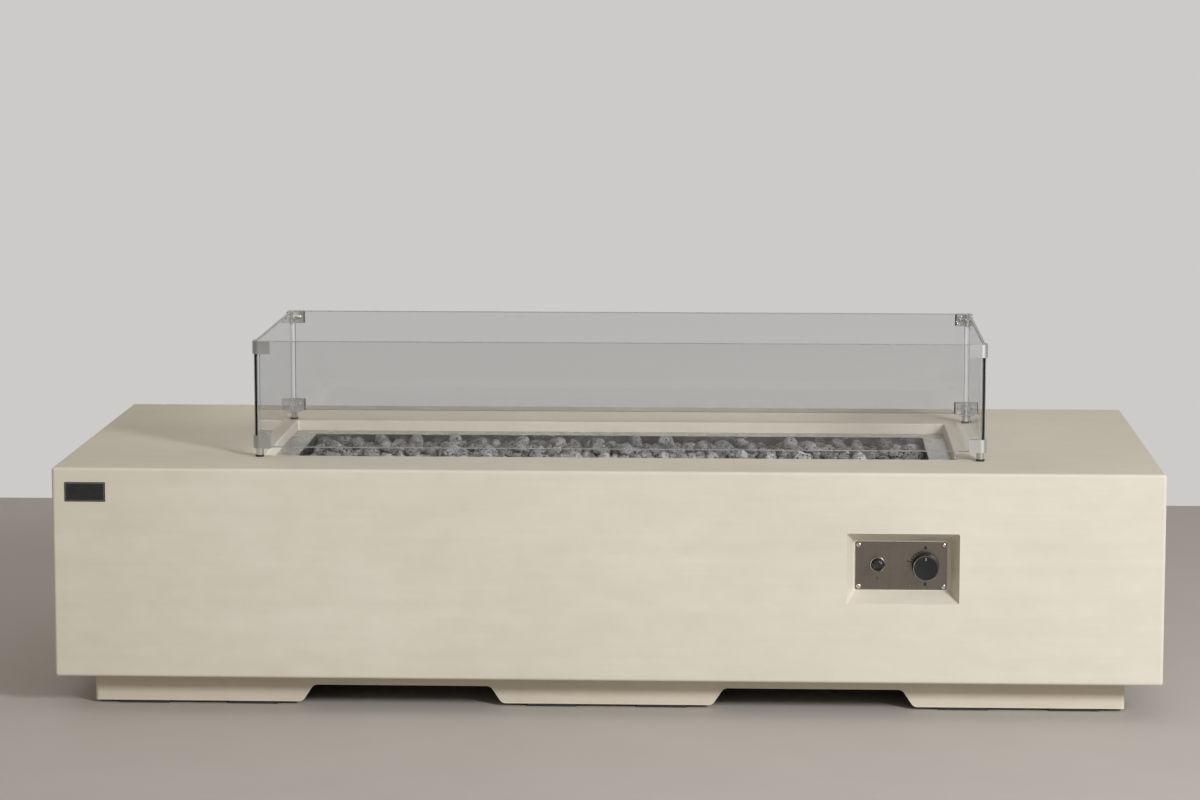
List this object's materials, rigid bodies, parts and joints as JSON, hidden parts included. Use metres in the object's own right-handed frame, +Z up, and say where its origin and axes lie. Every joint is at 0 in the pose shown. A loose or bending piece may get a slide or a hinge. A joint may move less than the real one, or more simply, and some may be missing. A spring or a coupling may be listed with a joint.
{
  "type": "fire pit table",
  "caption": "Low rectangular concrete fire table on a recessed plinth, with a gas burner pan of lava rock in its top, a loose glass wind guard, and a gas knob and igniter in a front recess.",
  "frame": {"origin": "on the floor, under the middle of the concrete body", "axes": "+X along the table to the right as seen from the controls, +Y from the front (controls) to the back, +Z up"},
  "size_m": [1.8, 0.781, 0.593],
  "materials": {
    "concrete": "matte, fine pores",
    "zinc_steel": "zinc plated",
    "brass": "machined",
    "rubber": "matte",
    "black_metal": "satin black",
    "brushed_stainless": "brushed",
    "polished_stainless": "polished",
    "nylon": "matte",
    "cast_aluminium": "cast",
    "steel": "machined",
    "black_plastic": "satin moulded",
    "white_inlay": "matte",
    "chrome": "polished",
    "battery_wrap": "printed wrap",
    "cast_iron": "as cast",
    "copper": "drawn",
    "white_ceramic": "fired",
    "spark_lead": "silicone sleeve",
    "glass": "clear, slightly grey",
    "silicone": "clear",
    "lava": "rough, porous"
  },
  "bodies": {
    "table": {"concrete_body": "concrete", "plinth": "concrete", "plinth_bolts": "zinc_steel", "plinth_sockets": "brass", "floor_pads": "rubber", "badge_plate": "black_metal", "control_plate": "brushed_stainless", "plate_screws": "polished_stainless", "screw_plugs": "nylon", "valve_body": "cast_aluminium", "valve_nut": "brass", "valve_spring": "steel", "igniter_bezel": "chrome", "igniter_housing": "black_plastic", "igniter_nut": "black_plastic", "igniter_spring": "steel", "igniter_battery": "battery_wrap", "spark_module": "black_plastic", "burner_pan": "brushed_stainless", "burner_tubes": "brushed_stainless", "burner_stands": "steel", "burner_screws": "polished_stainless", "rock_grate": "brushed_stainless", "grate_posts": "steel", "feed_elbow": "cast_iron", "air_mixer": "steel", "injector": "brass", "gas_hose": "polished_stainless", "hose_nuts": "brass", "inlet_pipe": "copper", "pipe_nuts": "brass", "inlet_fitting": "brass", "inlet_nut": "brass", "pilot_bracket": "steel", "spark_electrode": "white_ceramic", "flame_sensor": "copper", "ignition_wire": "spark_lead", "sensor_lead": "copper", "lava_rocks_1": "lava", "lava_rocks_2": "lava", "lava_rocks_3": "lava", "lava_rocks_4": "lava"},
    "guard": {"glass_front": "glass", "glass_back": "glass", "glass_left": "glass", "glass_right": "glass", "lower_clamps": "polished_stainless", "upper_clamps": "polished_stainless", "clamp_backs": "polished_stainless", "clamp_gaskets": "silicone", "clamp_screws": "polished_stainless", "guard_legs": "polished_stainless", "guard_foot_pads": "rubber"},
    "plunger": {"plunger_collar": "brass"},
    "knob": {"valve_stem": "brass", "control_knob": "black_plastic", "knob_pointer": "white_inlay"},
    "button": {"igniter_button": "black_plastic"}
  },
  "joints": [
    {"name": "knob_push", "type": "slide", "parent": "table", "child": "plunger", "axis": [0, 1, 0], "range_m": [0, 0.003], "stiffness_N_per_m": 900, "springref_m": -0.004, "deforming": ["valve_spring"]},
    {"name": "knob_turn", "type": "hinge", "parent": "plunger", "child": "knob", "pos_m": [0.5169, -0.37, 0.243], "axis": [0, -1, 0], "range_deg": [0, 180]},
    {"name": "igniter_press", "type": "slide", "parent": "table", "child": "button", "axis": [0, 1, 0], "range_m": [0, 0.003], "stiffness_N_per_m": 500, "springref_m": -0.004, "deforming": ["igniter_spring"]},
    {"name": "guard_lift", "type": "slide", "parent": "table", "child": "guard", "axis": [0, 0, 1], "range_m": [0, 0.25]}
  ]
}
